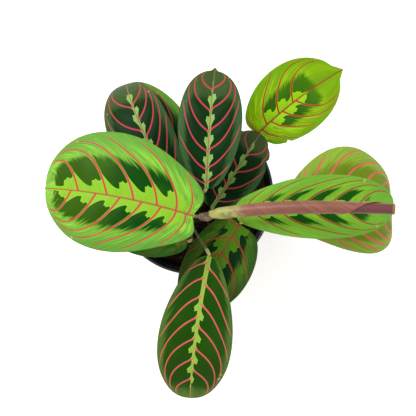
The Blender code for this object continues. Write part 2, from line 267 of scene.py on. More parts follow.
# ---- node helpers
class Graph:
    """Short forms for building a material's nodes."""

    def __init__(self, name):
        self.material = bpy.data.materials.new(name)
        self.material.use_nodes = True
        self.tree = self.material.node_tree
        self.shader = self.tree.nodes["Principled BSDF"]

    def node(self, kind, **settings):
        made = self.tree.nodes.new(kind)
        for key, value in settings.items():
            setattr(made, key, value)
        return made

    def feed(self, socket, value):
        if isinstance(value, bpy.types.NodeSocket):
            self.tree.links.new(value, socket)
        else:
            socket.default_value = value

    def math(self, operation, first, second=0.0):
        made = self.node("ShaderNodeMath", operation=operation)
        self.feed(made.inputs[0], first)
        self.feed(made.inputs[1], second)
        return made.outputs[0]

    def plus(self, first, second):
        return self.math("ADD", first, second)

    def minus(self, first, second):
        return self.math("SUBTRACT", first, second)

    def times(self, product, *factors):
        for factor in factors:
            product = self.math("MULTIPLY", product, factor)
        return product

    def attribute(self, name):
        return self.node("ShaderNodeAttribute", attribute_name=name).outputs["Fac"]

    def step(self, value, low, high):
        """0 up to low, 1 from high on, smooth between. low may be above high."""
        made = self.node("ShaderNodeMapRange", interpolation_type="SMOOTHSTEP")
        values = (value, min(low, high), max(low, high), float(low > high), float(low <= high))
        for name, given in zip(("Value", "From Min", "From Max", "To Min", "To Max"), values):
            self.feed(made.inputs[name], given)
        return made.outputs["Result"]

    def vector(self, x, y, z=0.0):
        made = self.node("ShaderNodeCombineXYZ")
        for socket, value in zip(made.inputs, (x, y, z)):
            self.feed(socket, value)
        return made.outputs[0]

    def place(self):
        return self.node("ShaderNodeTexCoord").outputs["Object"]

    def noise(self, vector, scale, detail=3.0, rough=0.55):
        made = self.node("ShaderNodeTexNoise")
        self.feed(made.inputs["Vector"], vector)
        made.inputs["Scale"].default_value = scale
        made.inputs["Detail"].default_value = detail
        made.inputs["Roughness"].default_value = rough
        return made.outputs["Fac"]

    def mix(self, share, first, second):
        made = self.node("ShaderNodeMix", data_type="RGBA")
        colours = [socket for socket in made.inputs if socket.type == "RGBA"]
        self.feed(made.inputs["Factor"], share)
        self.feed(colours[0], first)
        self.feed(colours[1], second)
        return next(socket for socket in made.outputs if socket.type == "RGBA")

    def bump(self, height, strength, distance):
        made = self.node("ShaderNodeBump")
        made.inputs["Strength"].default_value = strength
        made.inputs["Distance"].default_value = distance
        self.feed(made.inputs["Height"], height)
        self.feed(self.shader.inputs["Normal"], made.outputs[0])

    def finish(self, colour, roughness, specular):
        self.feed(self.shader.inputs["Base Color"], colour)
        self.feed(self.shader.inputs["Roughness"], roughness)
        self.shader.inputs["Specular IOR Level"].default_value = specular
        return self.material


def tone(colour, share=1, gain=COLOUR_GAIN):
    """A share of a colour as it looks, 0 to 255, in linear light and opaque."""
    parts = [min(part * share, 255) / 255 for part in colour]
    linear = [p / 12.92 if p <= 0.04045 else ((p + 0.055) / 1.055) ** 2.4 for p in parts]
    return (*[part * gain for part in linear], 1)


# ---- leaf materials
def off_vein(g, phase):
    """How far off the nearest side vein, 0.5 being halfway to the next."""
    return g.minus(0.5, g.math("ABSOLUTE", g.minus(g.math("FRACT", phase), 0.5)))


def side_vein(g, look, phase, gap, out, along):
    """How much of a side vein shows, and millimetres from its edge."""
    thin = g.times(out, out, 0.6)
    half = g.times(g.minus(1.0, thin), look["vein_mm"])
    beside = g.minus(g.times(off_vein(g, phase), gap), half)
    shown = g.times(g.step(out, 0.98, 0.88), g.step(phase, -0.5, -0.3),
                    g.step(gap, 1.0, 2.4), g.step(along, 0.985, 0.92))
    return g.times(g.step(beside, 0.16, -0.14), shown), beside


def pale_band(g, look, phase, reach, along, seed):
    """How much of the pale band shows, and millimetres inside its edge."""
    part = g.math("FRACT", phase)
    begins, peaks, ends = look["lobe"]
    wave = g.math("SINE", g.minus(g.times(part, 6.4 / ends), 0.7))
    teeth = g.minus(1.0, g.times(g.math("ABSOLUTE", wave), 0.24))
    each = g.noise(g.vector(g.times(g.math("FLOOR", phase), 3.7), seed), 1.0, 1.0)
    lobe = g.times(teeth, g.plus(each, 0.5), look["lobe_mm"], g.step(part, begins, peaks),
                   g.step(part, ends + 0.05, ends - 0.04),
                   g.step(phase, look["lobe_from"] - 0.01, look["lobe_from"]))
    wedge_from, wedge_mm = look["wedge"]
    rise = g.math("DIVIDE", g.minus(part, wedge_from), 1 - wedge_from)
    rise = g.math("MAXIMUM", rise, 0.0)
    wedge = g.times(rise, rise, wedge_mm)
    narrow = g.minus(1.55, g.times(along, 1.1))
    edge = g.plus(g.times(narrow, look["band_mm"]), g.math("MAXIMUM", lobe, wedge))
    last = look["band_end"]
    first = look["patch_from"]
    inside = g.minus(g.times(edge, g.step(along, last + 0.05, last - 0.16)), reach)
    band = g.times(g.step(inside, -0.12, 0.22), g.step(along, last + 0.04, last),
                   g.step(phase, first - 1.1, first - 0.1))
    return band, inside


def dark_patch(g, look, phase, out, beside, ragged, streak, cloud):
    """How much of a dark patch shows: streaked where it ends, and fading beside the veins."""
    end_at = g.plus(g.times(g.minus(streak, 0.5), 0.5), look["patch_end"])
    fills = g.plus(g.times(g.minus(cloud, 0.5), 0.4), look["patch_part"])
    halo = g.times(g.step(beside, 0.55, 0.1), g.step(out, 0.7, 0.4), look["halo"])
    first = look["patch_from"]
    last = look["tip_from"]
    return g.times(g.step(g.minus(end_at, out), -0.05, 0.08),
                   g.step(phase, first - 0.02, first + 0.04),
                   g.step(ragged, last + 0.07, last + 0.01),
                   g.step(g.minus(fills, g.math("FRACT", phase)), -0.05, 0.05),
                   g.minus(1.0, halo))


def leaf_material(name, look):
    """Red veins, a pale band along the midrib with toothed lobes, and feathered dark patches.

    phase is a whole number on each side vein, gap is millimetres between veins, out runs
    from the midrib to the margin, reach is millimetres from the midrib, along base to tip.
    """
    g = Graph(name)
    phase, gap, out, reach, along, seed = [g.attribute(field) for field in FIELDS]

    # Streaks that run with the veins, and slow cloudy change
    streak = g.noise(g.vector(g.times(phase, 9.0), g.times(out, 2.2), seed), 1.0, 3.0, 0.65)
    fine = g.noise(g.vector(g.times(phase, 24.0), g.times(out, 4.0), seed), 1.0, 2.0, 0.6)
    cloud = g.noise(g.place(), 45.0, 2.0)
    ragged = g.plus(along, g.times(g.minus(streak, 0.5), 0.16))
    vein, beside = side_vein(g, look, phase, gap, out, along)
    band, inside = pale_band(g, look, phase, reach, along, seed)
    patch = dark_patch(g, look, phase, out, beside, ragged, streak, cloud)

    def own(part, share=1):
        return tone(look[part], share)

    ground = g.mix(g.step(out, 0.55, 0.9), own("ground"), own("margin"))
    ground = g.mix(g.times(g.step(fine, 0.46, 0.62), 0.55), ground, own("margin", 0.76))
    pale = g.times(g.step(streak, 0.5, 0.6), g.step(out, 0.92, 0.72), look["streaks"])
    ground = g.mix(pale, ground, own("ground", 1.24))
    blotch = g.mix(g.step(along, 0.42, 0.72), own("blotch"), own("far"))
    blotch = g.mix(g.times(g.step(cloud, 0.4, 0.75), 0.3), blotch, own("far", 1.35))
    blotch = g.mix(g.times(g.step(fine, 0.5, 0.7), 0.04), blotch, own("ground", 0.7))
    colour = g.mix(patch, ground, blotch)
    end = g.times(g.step(ragged, look["tip_from"], look["tip_from"] + 0.12), 0.7)
    colour = g.mix(end, colour, own("tip"))
    pale = g.mix(g.step(fine, 0.45, 0.7), own("band"), own("band", 0.94))
    pale = g.mix(g.times(g.step(inside, 0.9, 0.3), 0.5), pale, own("band", 1.12))
    colour = g.mix(band, colour, pale)
    colour = g.mix(vein, colour, own("vein"))
    rib = g.times(g.minus(1.0, g.times(along, 0.5)), look["rib_mm"])
    rib = g.step(g.minus(rib, reach), -0.12, 0.18)
    colour = g.mix(g.times(rib, 0.85), colour, own("midrib"))

    # A thin dry margin and tip, and a few dry specks near the tip's margin
    colour = g.mix(g.times(g.step(out, 0.98, 1.0), 0.3), colour, tone((140, 130, 60)))
    speck = g.times(g.step(g.noise(g.place(), 300.0, 1.0), 0.69, 0.73),
                    g.step(out, 0.7, 0.9), g.step(along, 0.62, 0.8))
    colour = g.mix(speck, colour, tone((198, 196, 112)))
    colour = g.mix(g.step(along, 1.0, 1.02), colour, tone((150, 112, 52)))

    g.bump(g.minus(g.times(fine, 0.5), g.times(vein, 0.5)), 0.3, 0.0004)
    rough = g.plus(g.times(streak, 0.16), 0.4)
    return g.finish(colour, rough, 0.08)


def underside_material():
    """The back of a leaf: dull green flushed with wine red, with its veins showing through."""
    g = Graph("leaf_underside")
    phase = g.attribute("phase")
    inside = g.minus(0.5, g.times(off_vein(g, phase), g.attribute("gap")))
    vein = g.step(inside, -0.25, 0.2)
    fine = g.noise(g.vector(g.times(phase, 26.0), g.times(g.attribute("out"), 4.0)), 1.0)
    cloud = g.noise(g.place(), 38.0, 3.0)
    colour = g.mix(g.step(cloud, 0.35, 0.7), tone((112, 128, 82)), tone((128, 84, 88)))
    colour = g.mix(g.times(g.step(fine, 0.45, 0.7), 0.35), colour, tone((96, 104, 70)))
    colour = g.mix(g.times(vein, 0.6), colour, tone((150, 108, 92)))
    g.bump(g.plus(vein, fine), 0.35, 0.0004)
    return g.finish(colour, 0.55, 0.3)


# ---- pieces
def add_object(name, data):
    made = bpy.data.objects.new(name, data)
    bpy.context.scene.collection.objects.link(made)
    return made


def as_piece(name, bm, *materials):
    """An object of that name made from a bmesh, which is freed."""
    mesh = bpy.data.meshes.new(name)
    bm.to_mesh(mesh)
    bm.free()
    for material in materials:
        mesh.materials.append(material)
    return add_object(name, mesh)


def squares(rows, columns):
    """The corners of each square of a grid, as (row, column)."""
    return [((row, column), (row + 1, column), (row + 1, column + 1), (row, column + 1))
            for row in range(rows - 1) for column in range(columns - 1)]


def add_faces(bm, grid, faces, fields):
    """Smooth faces between a grid's vertices, with each field's values on their corners."""
    held = bm.loops.layers.float
    layers = {field: held.get(field) or held.new(field) for field in fields}
    for spots in faces:
        face = bm.faces.new([grid[row][column] for row, column in spots])
        face.smooth = True
        for loop, spot in zip(face.loops, spots):
            for field, layer in layers.items():
                loop[layer] = float(fields[field][spot])


def thicken(piece, thickness, offset):
    solid = piece.modifiers.new("thickness", "SOLIDIFY")
    solid.thickness = thickness
    solid.offset = offset
    return solid


def place(piece, slot, *nodes):
    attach(piece, "root")
    if nodes:
        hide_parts(*nodes)


def circle(count):
    """Steps round a unit circle, as cosine and sine."""
    angles = [2 * math.pi * step / count for step in range(count)]
    return [(math.cos(angle), math.sin(angle)) for angle in angles]


def ease(start, end, value):
    """0 at start and 1 at end, smooth between."""
    share = np.clip((value - start) / (end - start), 0, 1)
    return share * share * (3 - 2 * share)


# ---- blades
def blade_frame(spec, along, across):
    """Points of a blade about its base, its millimetres along and out, and its upward way."""
    side = np.sign(across)
    out = np.abs(across)
    length = spec["length"]
    half_width = spec["width"] / 2
    end = 1 + spec["point"]
    along = along * end
    widest = np.where(side > 0, *spec["widest"])
    slim = np.where(side > 0, *spec["slim"])
    share = np.clip(along, 0, 1) ** (math.log(0.5) / np.log(widest))
    oval = (4 * share * (1 - share)) ** (slim / 2)
    tip = TIP_SLOPE * (end - along) * ease(TIP_START, 1, along)
    profile = (oval ** TIP_BLEND + tip ** TIP_BLEND) ** (1 / TIP_BLEND)
    lean = 1 + spec["lean"] * side
    outward = half_width * profile * lean * out
    lobe = along / LOBE_REACH * np.exp(1 - along / LOBE_REACH)
    reach = along - spec["lobe"] * out * lobe
    for where, nick_side, depth, wide in spec["nicks"]:
        dent = np.exp(-((along - where) / wide) ** 2) * (side == nick_side)
        outward = outward * (1 - depth * dent * out ** 3)

    steps = np.linspace(0, MIDRIB_END, MIDRIB_STEPS)
    first, last = spec["pitch"]
    pitch = np.radians(first + (last - first) * np.clip(steps, 0, 1) ** spec["droop"])
    turn = np.radians(spec["heading"] + spec["bend"] * steps)
    ways = np.stack([np.cos(turn) * np.cos(pitch), np.sin(turn) * np.cos(pitch),
                     np.sin(pitch)], -1)
    moves = (ways[1:] + ways[:-1]) / 2 * steps[1] * length
    midrib = np.vstack([np.zeros(3), np.cumsum(moves, 0)])

    def read(values):
        return np.stack([np.interp(reach, steps, values[:, axis]) for axis in range(3)], -1)

    way = read(ways)
    way /= np.linalg.norm(way, axis=-1, keepdims=True)
    centre = read(midrib) + np.minimum(reach, 0)[..., None] * length * way
    turn = np.radians(spec["heading"] + spec["bend"] * np.clip(reach, 0, None))
    sideways = np.stack([-np.sin(turn), np.cos(turn), 0 * turn], -1)
    upward = np.cross(way, sideways)
    fold = math.radians(spec["fold"])
    curve = math.radians(spec["curl"]) / half_width
    flat = (np.sin(fold + curve * outward) - math.sin(fold)) / curve * side
    lift = (math.cos(fold) - np.cos(fold + curve * outward)) / curve
    points = centre + sideways * flat[..., None] + upward * lift[..., None]
    return points * MM, reach * length, outward, upward


def leaf_base(name, spec):
    """Where a leaf's base lies: where its plain shape has the middle of its CAD blade's box."""
    rows = (1 - np.cos(np.linspace(0, math.pi, CAD_ROWS + 1))) / 2
    columns = np.linspace(-1, 1, CAD_COLUMNS + 1)
    along, across = np.meshgrid(rows, columns, indexing="ij")
    points = blade_frame(dict(spec, nicks=()), along, across)[0].reshape(-1, 3)
    return middle(f"blade_{name}") - Vector((points.min(0) + points.max(0)) / 2)


def vein_phase(spec, side, along, out, seed):
    """A whole number on each of a half's side veins.

    A vein leaves the midrib steeply at its start, a distance from the tip, bends towards the
    tip, and meets the margin at start ** power from it. Halving finds each point's start.
    """
    count, first, last, power = spec["left" if side > 0 else "right"]
    out = out * (1 + VEIN_WANDER * np.sin(VEIN_WANDER_RATE * along + seed))
    low = np.zeros_like(along)
    high = np.full_like(along, START_LIMIT)
    for _ in range(HALVINGS):
        start = (low + high) / 2
        straight = VEIN_STRAIGHT + VEIN_LEAN * np.clip(1 - start, 0, 1) ** 2
        bend = np.clip(straight * out + (1 - straight) * out ** VEIN_BEND, 0, 1)
        beyond = start * (1 - bend) + start ** power * bend > 1 - along
        low = np.where(beyond, low, start)
        high = np.where(beyond, start, high)
    share = (1 - high - first) / (last - first)
    spread = np.where(share > 0, np.abs(share) ** (1 / spec["crowd"]), share)
    return np.clip(spread * (count - 1), -FIRST_SPARE, count - 1 + LAST_SPARE)


def vein_gap(phase, run, outward):
    """Millimetres between veins: one over the phase's slope on the flat blade."""
    run_a, run_b = np.gradient(run)
    out_a, out_b = np.gradient(outward)
    phase_a, phase_b = np.gradient(phase)
    area = run_a * out_b - run_b * out_a
    area = np.where(np.abs(area) < 1e-6, 1e-6, area)
    slope_run = (phase_a * out_b - phase_b * out_a) / area
    slope_out = (phase_b * run_a - phase_a * run_b) / area
    return np.clip(1 / (np.hypot(slope_run, slope_out) + 1e-6), *GAP_LIMITS_MM)


def half_blade(spec, base, side, seed):
    """Points of half a blade from midrib to margin, and its pattern's fields there."""
    rows = (1 - np.cos(np.linspace(BASE_ANGLE, math.pi, BLADE_ROWS + 1))) / 2
    columns = np.linspace(0, 1, HALF_COLUMNS + 1)
    along, out = np.meshgrid(rows, columns, indexing="ij")
    points, run, outward, upward = blade_frame(spec, along, out * side + SIDE_HINT * side)
    phase = vein_phase(spec, side, along, out, seed)
    gap = vein_gap(phase, run, outward)
    rounded = np.cos(2 * math.pi * phase) * ease(-0.5, 0, phase)
    fade = ease(0, 0.15, out) * (1 - ease(0.7, 1, out)) * (1 - ease(0.8, 1, along))
    fade = fade * np.clip(gap / QUILT_GAP_MM, 0, 1)
    groove = np.exp(-(outward / GROOVE_MM) ** 2) * (1 - along)
    wave = WAVE * out ** 3 * np.sin(WAVE_RATE * along + seed) * ease(0, 0.2, along)
    lift = -QUILT * rounded * fade - GROOVE * groove + wave * (1 - ease(0.9, 1, along))
    points = points + upward * lift[..., None] + np.array(base)
    reach = outward * spec["spread"][0 if side > 0 else 1]
    return points, {"phase": phase, "gap": gap, "out": out, "reach": reach, "along": along}


def build_blade(name, spec, base, number, materials):
    """Two halves that share the midrib, with their fields on the face corners."""
    bm = bmesh.new()
    shared = None
    for side in (1, -1):
        points, fields = half_blade(spec, base, side, number * SHAPE_SEED)
        seed = number * PATTERN_SEED + (side < 0) * RIGHT_HALF_SEED
        fields["seed"] = np.full_like(fields["out"], seed)
        rows, columns = points.shape[:2]
        grid = []
        for row, line in enumerate(points):
            first = shared[row] if shared else bm.verts.new(line[0])
            if row < rows - 1:
                grid.append([first] + [bm.verts.new(point) for point in line[1:]])
            else:
                grid.append([first] * columns)
        shared = [line[0] for line in grid]
        faces = squares(rows, columns)
        faces = [spots[:2] + spots[3:] if spots[1][0] == rows - 1 else spots for spots in faces]
        add_faces(bm, grid, [spots[::side] for spots in faces], fields)
    piece = as_piece(f"leaf_{name}", bm, materials[spec["look"]], materials["underside"])
    solid = thicken(piece, BLADE, 1)
    solid.material_offset = 1
    solid.material_offset_rim = 0
    place(piece, LOOKS[spec["look"]]["slot"], f"blade_{name}")


# ---- stalks, stem and node
ROOT_DEPTH = 2 * MM  # how far stalks and stem start below the soil's top
STALK_POINTS = 60
STALK_SIDES = 16
STALK_INSET = 0.5 * MM  # how far the left leaf's stalk starts inside the node
SHEATH_SWELL = 0.45
JOINT_SWELL = 0.55
STEM_ROWS = 64
STEM_SIDES = 28
STEM_JOINTS = 4
STEM_SPARE = 2 * MM  # how far below the node's centre the stem ends
NODE_ROWS = 48
NODE_SIDES = 40
NODE_LUMPS = 0.16
LUMP_SCALE = 420


def stalk_material():
    """Streaked green, brown low down, with a pale swollen joint under the blade."""
    g = Graph("stalk")
    along = g.attribute("along")
    streak = g.noise(g.vector(g.times(g.attribute("round"), 9.0), g.times(along, 4.0)), 1.0, 3.0)
    colour = g.mix(g.step(streak, 0.35, 0.7), tone((74, 88, 40)), tone((112, 118, 60)))
    colour = g.mix(g.step(along, 0.3, 0.0), colour, tone((104, 84, 56)))
    colour = g.mix(g.step(along, 0.9, 0.94), colour, tone((196, 202, 112)))
    g.bump(streak, 0.3, 0.0003)
    return g.finish(colour, 0.42, 0.45)


def run_shares(points):
    """How far along its line each point lies, from 0 to 1."""
    steps = [(after - before).length for before, after in zip(points, points[1:])]
    run = np.concatenate([[0.0], np.cumsum(steps)])
    return run / run[-1]


def sweep(name, points, radii, material, sides, bumps=0.0):
    """A closed round tube through points, with an attribute along it and one around it."""
    bm = bmesh.new()
    across = Vector((0, 0, 1)).cross((points[1] - points[0]).normalized())
    if across.length < 0.1:
        across = Vector((1, 0, 0))
    rings = []
    for index, point in enumerate(points):
        before = points[max(index - 1, 0)]
        after = points[min(index + 1, len(points) - 1)]
        way = (after - before).normalized()
        across = (across - way * across.dot(way)).normalized()
        upward = way.cross(across)
        ring = []
        for cosine, sine in circle(sides):
            out = across * cosine + upward * sine
            radius = radii[index]
            if bumps:
                radius *= 1 + bumps * noise.noise((point + out * radius) * LUMP_SCALE)
            ring.append(bm.verts.new(point + out * radius))
        rings.append(ring)
    turns = np.abs(2 * np.arange(sides + 1) / sides - 1)
    along, around = np.meshgrid(run_shares(points), turns, indexing="ij")
    faces = [(a, d, c, b) for a, b, c, d in squares(*along.shape)]
    add_faces(bm, [ring + ring[:1] for ring in rings], faces, {"along": along, "round": around})
    for ring, share in ((rings[0][::-1], 0.0), (rings[-1], 1.0)):
        for loop in bm.faces.new(ring).loops:
            loop[bm.loops.layers.float["along"]] = share
    bm.normal_update()
    return as_piece(name, bm, material)


def stalk_radius(share):
    """Slim, with a sheath at the soil and a swollen joint under the blade."""
    sheath = SHEATH_SWELL * (1 - ease(0, 0.3, share))
    joint = JOINT_SWELL * ease(0.9, 0.95, share) * (1 - 0.5 * ease(0.97, 1, share))
    return (STALK_RADIUS + (STALK_TIP - STALK_RADIUS) * share) * (1 + sheath + joint)


def build_stalk(name, spec, base, material):
    """A stalk from the soil to its blade. One without a root is short and leaves the node."""
    rooted = "root" in spec
    if rooted:
        root = Vector((spec["root"][0] * MM, spec["root"][1] * MM, SOIL_TOP - ROOT_DEPTH))
        elbow = Vector(spec["elbow"]) * MM
        rise = Vector(spec["rise"]) * MM
    else:
        root = NODE_CENTRE - Vector((NODE_HALF_LENGTH - STALK_INSET, 0, 0))
        elbow = root.lerp(base, 0.7)
        rise = root.lerp(base, 0.3)
    end = base - (base - elbow).normalized() * STALK_GAP
    points = geometry.interpolate_bezier(root, rise, elbow, end, STALK_POINTS)
    if rooted:
        radii = stalk_radius(run_shares(points))
    else:
        radii = np.full(STALK_POINTS, STALK_RADIUS)
    piece = sweep(f"petiole_{name}", points, radii, material, STALK_SIDES)
    place(piece, "stalk", f"stalk_{name}")


def stem_material():
    """Mottled green and brown, with darker rings."""
    g = Graph("stem")
    mottle = g.noise(g.place(), 260.0, 4.0)
    ring = g.math("PINGPONG", g.times(g.attribute("along"), float(STEM_JOINTS)), 0.5)
    colour = g.mix(g.step(mottle, 0.4, 0.65), tone((112, 118, 62)), tone((134, 98, 66)))
    colour = g.mix(g.step(ring, 0.05, 0.0), colour, tone((92, 58, 44)))
    g.bump(mottle, 0.4, 0.0004)
    return g.finish(colour, 0.5, 0.35)


def node_material():
    """Brown-violet papery skin with dark scars."""
    g = Graph("node")
    mottle = g.noise(g.place(), 330.0, 5.0, 0.7)
    rings = g.noise(g.vector(g.times(g.attribute("along"), 14.0), 0.0), 1.0, 2.0)
    colour = g.mix(g.step(mottle, 0.38, 0.62), tone((96, 74, 64)), tone((148, 128, 88)))
    colour = g.mix(g.step(rings, 0.55, 0.68), colour, tone((76, 48, 54)))
    g.bump(g.plus(mottle, rings), 0.7, 0.0008)
    return g.finish(colour, 0.62, 0.3)


def build_stem():
    """The upright stem, a little thicker at its joints."""
    shares = np.linspace(0, 1, STEM_ROWS)
    low = Vector((STEM.x, STEM.y, SOIL_TOP - ROOT_DEPTH))
    high = Vector((STEM.x, STEM.y, NODE_CENTRE.z - STEM_SPARE))
    points = [low.lerp(high, float(share)) for share in shares]
    joints = np.exp(-((((shares * STEM_JOINTS) % 1) - 0.5) / 0.08) ** 2)
    radii = STEM_RADIUS * (1 - 0.12 * shares) * (1 + 0.16 * joints)
    place(sweep("stem", points, radii, stem_material(), STEM_SIDES), "stem", "main_stem")


def build_node():
    """The knobbly node, ringed by the scars of old leaf bases."""
    shares = np.linspace(-1, 1, NODE_ROWS)
    points = [NODE_CENTRE + Vector((NODE_HALF_LENGTH * float(s), 0, 0)) for s in shares]
    scars = 0.1 * np.abs(np.sin(shares * 7))
    radii = NODE_RADIUS * (1 - 0.42 * shares * shares) * (0.88 + scars)
    piece = sweep("stem_knob", points, radii, node_material(), NODE_SIDES, NODE_LUMPS)
    place(piece, "node", "stem_node")


# ---- the rolled leaf
# Its line, as in the CAD model: Y and Z of its ends, the bow between them, and the share of the
# way to the bow of its first guide point. ROLL_INSET is how far it starts inside the node.
ROLL_START = (-14.5 * MM, 171 * MM)
ROLL_BOW = (65 * MM, -8 * MM, 187 * MM)
ROLL_END = (-11 * MM, 196 * MM)
ROLL_LEAD = 0.6
ROLL_INSET = 1.8 * MM
ROLL_KNOTS = 200
# The sheet: how often it turns, its rows, where its first edge lies, how its end slants, how
# much each turn winds in, and its thickness
ROLL_TURNS = 2.1
ROLL_STEPS = 150
ROLL_ROWS = 130
ROLL_FIRST_ANGLE = -0.35
ROLL_LAP = 0.79
ROLL_LAP_SLANT = 0.27
ROLL_WIND = 0.07
ROLL_SHEET = 0.2 * MM


def rolled_material():
    """Pale green at the base, then brown-pink with rosy slanting veins, and a dry end."""
    g = Graph("rolled")
    along = g.attribute("along")
    turn = g.attribute("turn")
    slant = g.plus(g.times(turn, 3.0), g.times(along, 11.0))
    line = g.math("PINGPONG", slant, 0.5)
    fine = g.noise(g.vector(g.times(slant, 7.0), along), 1.0, 3.0)
    mottle = g.noise(g.place(), 210.0, 3.0)
    green = g.mix(g.step(mottle, 0.4, 0.65), tone((186, 186, 104)), tone((146, 146, 80)))
    skin = g.mix(g.step(fine, 0.35, 0.7), tone((138, 82, 66)), tone((160, 104, 82)))
    rosy = g.times(g.step(line, 0.08, 0.02), g.step(along, 0.6, 0.25), 0.6)
    skin = g.mix(g.plus(rosy, g.times(g.step(fine, 0.6, 0.7), 0.18)), skin, tone((196, 84, 88)))
    skin = g.mix(g.step(turn, 0.97, 1.03), skin, tone((118, 64, 60)))
    green = g.mix(g.times(g.step(line, 0.08, 0.03), g.step(along, 0.1, 0.2)), green,
                  tone((196, 96, 92)))
    skin_from = g.plus(along, g.times(mottle, 0.1))
    colour = g.mix(g.step(skin_from, 0.18, 0.36), green, skin)
    dry_from = g.plus(along, g.times(mottle, 0.02))
    colour = g.mix(g.step(dry_from, 0.998, 1.012), colour, tone((176, 142, 84)))
    g.bump(g.plus(fine, line), 0.3, 0.0005)
    return g.finish(colour, 0.42, 0.3)


def build_rolled_leaf():
    """One thin sheet wound round itself, whose outer layer ends in a slanting lap."""
    start = Vector((ROLL_LOW[0] - ROLL_INSET, *ROLL_START))
    bow = Vector(ROLL_BOW)
    end = Vector((ROLL_HIGH[0], *ROLL_END))
    axis = geometry.interpolate_bezier(start, start.lerp(bow, ROLL_LEAD), bow, end, ROLL_KNOTS)
    axis = np.array([tuple(point) for point in axis])
    ways = np.gradient(axis, axis=0)
    ways /= np.linalg.norm(ways, axis=1, keepdims=True)
    knots = np.linspace(0, 1, len(axis))
    turns = np.linspace(0, ROLL_TURNS, ROLL_STEPS)
    rows = np.linspace(0, 1, ROLL_ROWS)
    turn, row = np.meshgrid(turns, rows, indexing="ij")
    share = row * np.minimum(1, ROLL_LAP + ROLL_LAP_SLANT * turn)
    centre = np.stack([np.interp(share, knots, axis[:, k]) for k in range(3)], -1)
    way = np.stack([np.interp(share, knots, ways[:, k]) for k in range(3)], -1)
    across = np.cross(way, (0, 0, 1.0))
    across /= np.linalg.norm(across, axis=-1, keepdims=True)
    upward = np.cross(across, way)
    neck = 0.6 + 0.32 * ease(0, 0.09, share) + 0.08 * ease(0.1, 0.5, share)
    taper = 1 - 0.16 * ease(0.6, 1, share)
    flare = 1 + 0.1 * ease(0.95, 1, row) * (1 - ease(0.6, 0.75, turn))
    radius = ROLL_RADIUS * neck * taper * flare * (1 - ROLL_WIND * turn)
    angle = ROLL_FIRST_ANGLE + 2 * math.pi * turn
    points = centre + (across * np.cos(angle)[..., None]
                       + upward * np.sin(angle)[..., None]) * radius[..., None]
    bm = bmesh.new()
    grid = [[bm.verts.new(point) for point in line] for line in points]
    add_faces(bm, grid, squares(*turn.shape), {"along": share, "turn": turn})
    bm.normal_update()
    piece = as_piece("new_leaf_roll", bm, rolled_material())
    thicken(piece, ROLL_SHEET, 0)
    place(piece, "rolled", "rolled_leaf")


# ---- pot
POT_SEGMENTS = 160
SHARP_ANGLE = 38
FOOT_LIFT = 0.8 * MM  # how far the underside is raised inside the foot ring
LIP = 1.1 * MM
LIP_STEPS = 13
RIBS = 5
RIB_STEPS = 6
RIB_DEPTH = 0.5 * MM
RIB_SPARE = 2 * MM
DRAIN_SIDES = 32


def wall_radius(height):
    top_radius = RIM_RADIUS - BAND_STEP
    return FOOT_RADIUS + (top_radius - FOOT_RADIUS) * height / POT_HEIGHT


def turned(name, profile, segments, material):
    """Turn a profile of (radius, height) about Z, closed on the axis at both ends."""
    bm = bmesh.new()
    ends = [bm.verts.new((0, 0, profile[0][1])), bm.verts.new((0, 0, profile[-1][1]))]
    rings = [[bm.verts.new((radius * x, radius * y, height)) for x, y in circle(segments)]
             for radius, height in profile[1:-1]]
    for step in range(segments):
        after = (step + 1) % segments
        bm.faces.new((ends[0], rings[0][after], rings[0][step]))
        bm.faces.new((rings[-1][step], rings[-1][after], ends[1]))
        for low, high in zip(rings, rings[1:]):
            bm.faces.new((low[step], low[after], high[after], high[step]))
    piece = as_piece(name, bm, material)
    piece.data.shade_smooth()
    piece.data.set_sharp_from_angle(angle=math.radians(SHARP_ANGLE))
    return piece


def pot_material():
    """Black moulded plastic, faintly scuffed, with a painted highlight: the top of its lip is
    painted pale grey.
    """
    g = Graph("pot")
    scuff = g.noise(g.place(), 90.0, 5.0, 0.7)
    grain = g.noise(g.place(), 1400.0, 2.0)
    colour = g.mix(g.step(scuff, 0.5, 0.75), tone((18, 20, 23)), tone((34, 37, 41)))
    height = g.node("ShaderNodeSeparateXYZ")
    g.feed(height.inputs[0], g.place())
    # Painted highlight: the top half millimetre of the lip is painted pale grey in place of light
    # caught on the rim
    lip_highlight = g.step(height.outputs["Z"], POT_HEIGHT - 0.5 * MM, POT_HEIGHT - 0.1 * MM)
    colour = g.mix(g.times(lip_highlight, 0.8), colour, tone((92, 98, 106)))
    rough = g.plus(g.times(scuff, 0.2), 0.12)
    g.bump(grain, 0.15, 0.0002)
    return g.finish(colour, rough, 0.28)


